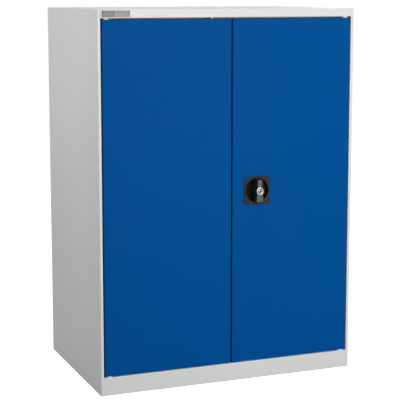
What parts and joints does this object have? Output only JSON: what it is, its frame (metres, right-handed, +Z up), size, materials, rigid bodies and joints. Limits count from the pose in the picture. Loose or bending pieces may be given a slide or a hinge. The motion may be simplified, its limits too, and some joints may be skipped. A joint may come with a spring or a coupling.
{
  "type": "tool cabinet with doors",
  "caption": "Low steel tool cabinet: two hinged doors over adjustable shelves, locked together by a turning handle that drives rods and a side bolt.",
  "frame": {"origin": "centre of the floor rectangle that the cabinet covers with its handle", "axes": "+Z up, +X to the right seen from the front, +Y from the doors to the back"},
  "size_m": [0.725, 0.499, 1],
  "materials": {
    "body_grey": "light grey powder coat, fine texture, satin",
    "door_blue": "gentian blue powder coat, fine texture, satin",
    "handle_black": "moulded black plastic with a fine grain",
    "zinc_steel": "bright zinc-plated steel",
    "chrome": "polished chrome",
    "nylon_white": "natural white nylon",
    "rubber_black": "black rubber",
    "label_dark": "bare dark plate, semi-matt"
  },
  "bodies": {
    "cabinet": {"left_side_panel": "body_grey", "right_side_panel": "body_grey", "top_panel": "body_grey", "bottom_panel": "body_grey", "plinth": "body_grey", "back_panel": "body_grey", "front_left_upright": "body_grey", "rear_left_upright": "body_grey", "front_right_upright": "body_grey", "rear_right_upright": "body_grey", "lower_shelf": "body_grey", "middle_shelf": "body_grey", "upper_shelf": "body_grey", "lower_shelf_clips": "zinc_steel", "middle_shelf_clips": "zinc_steel", "upper_shelf_clips": "zinc_steel", "hinge_pins": "zinc_steel", "door_buffers": "rubber_black", "door_catch": "nylon_white", "label_plate": "label_dark"},
    "left_door": {"left_door": "door_blue", "left_door_stiffener": "door_blue", "left_upper_bush": "nylon_white", "left_lower_bush": "nylon_white"},
    "right_door": {"right_door": "door_blue", "right_door_stiffener": "door_blue", "right_upper_bush": "nylon_white", "right_lower_bush": "nylon_white", "handle_plate": "handle_black", "lock_case": "zinc_steel", "lock_cover": "zinc_steel", "lock_screws": "zinc_steel", "upper_rod_guide": "nylon_white", "lower_rod_guide": "nylon_white"},
    "handle": {"handle_grip": "handle_black", "lock_cylinder": "chrome", "lock_spindle": "zinc_steel", "lock_pinion": "zinc_steel"},
    "key_plug": {"lock_plug": "chrome"},
    "upper_rod": {"upper_rod": "zinc_steel"},
    "lower_rod": {"lower_rod": "zinc_steel"},
    "side_bolt": {"side_bolt": "zinc_steel"}
  },
  "joints": [
    {"name": "left_door_hinge", "type": "hinge", "parent": "cabinet", "child": "left_door", "pos_m": [-0.3385, -0.2165, 0.5125], "axis": [0, 0, 1], "range_deg": [-110, 0]},
    {"name": "right_door_hinge", "type": "hinge", "parent": "cabinet", "child": "right_door", "pos_m": [0.3385, -0.2165, 0.5125], "axis": [0, 0, 1], "range_deg": [0, 110]},
    {"name": "handle_turn", "type": "hinge", "parent": "right_door", "child": "handle", "pos_m": [0.0775, -0.2255, 0.5185], "axis": [0, 1, 0], "range_deg": [0, 90]},
    {"name": "key_turn", "type": "hinge", "parent": "handle", "child": "key_plug", "pos_m": [0.0775, -0.2395, 0.5185], "axis": [0, 1, 0], "range_deg": [0, 90]},
    {"name": "upper_rod_slide", "type": "slide", "parent": "right_door", "child": "upper_rod", "axis": [0, 0, 1], "range_m": [0, 0.0158]},
    {"name": "lower_rod_slide", "type": "slide", "parent": "right_door", "child": "lower_rod", "axis": [0, 0, -1], "range_m": [0, 0.0158]},
    {"name": "side_bolt_slide", "type": "slide", "parent": "right_door", "child": "side_bolt", "axis": [-1, 0, 0], "range_m": [0, 0.0158]}
  ],
  "couplings": [
    {"joint": "upper_rod_slide", "follows": "handle_turn", "m_per_rad": 0.01},
    {"joint": "lower_rod_slide", "follows": "handle_turn", "m_per_rad": 0.01},
    {"joint": "side_bolt_slide", "follows": "handle_turn", "m_per_rad": 0.01}
  ]
}
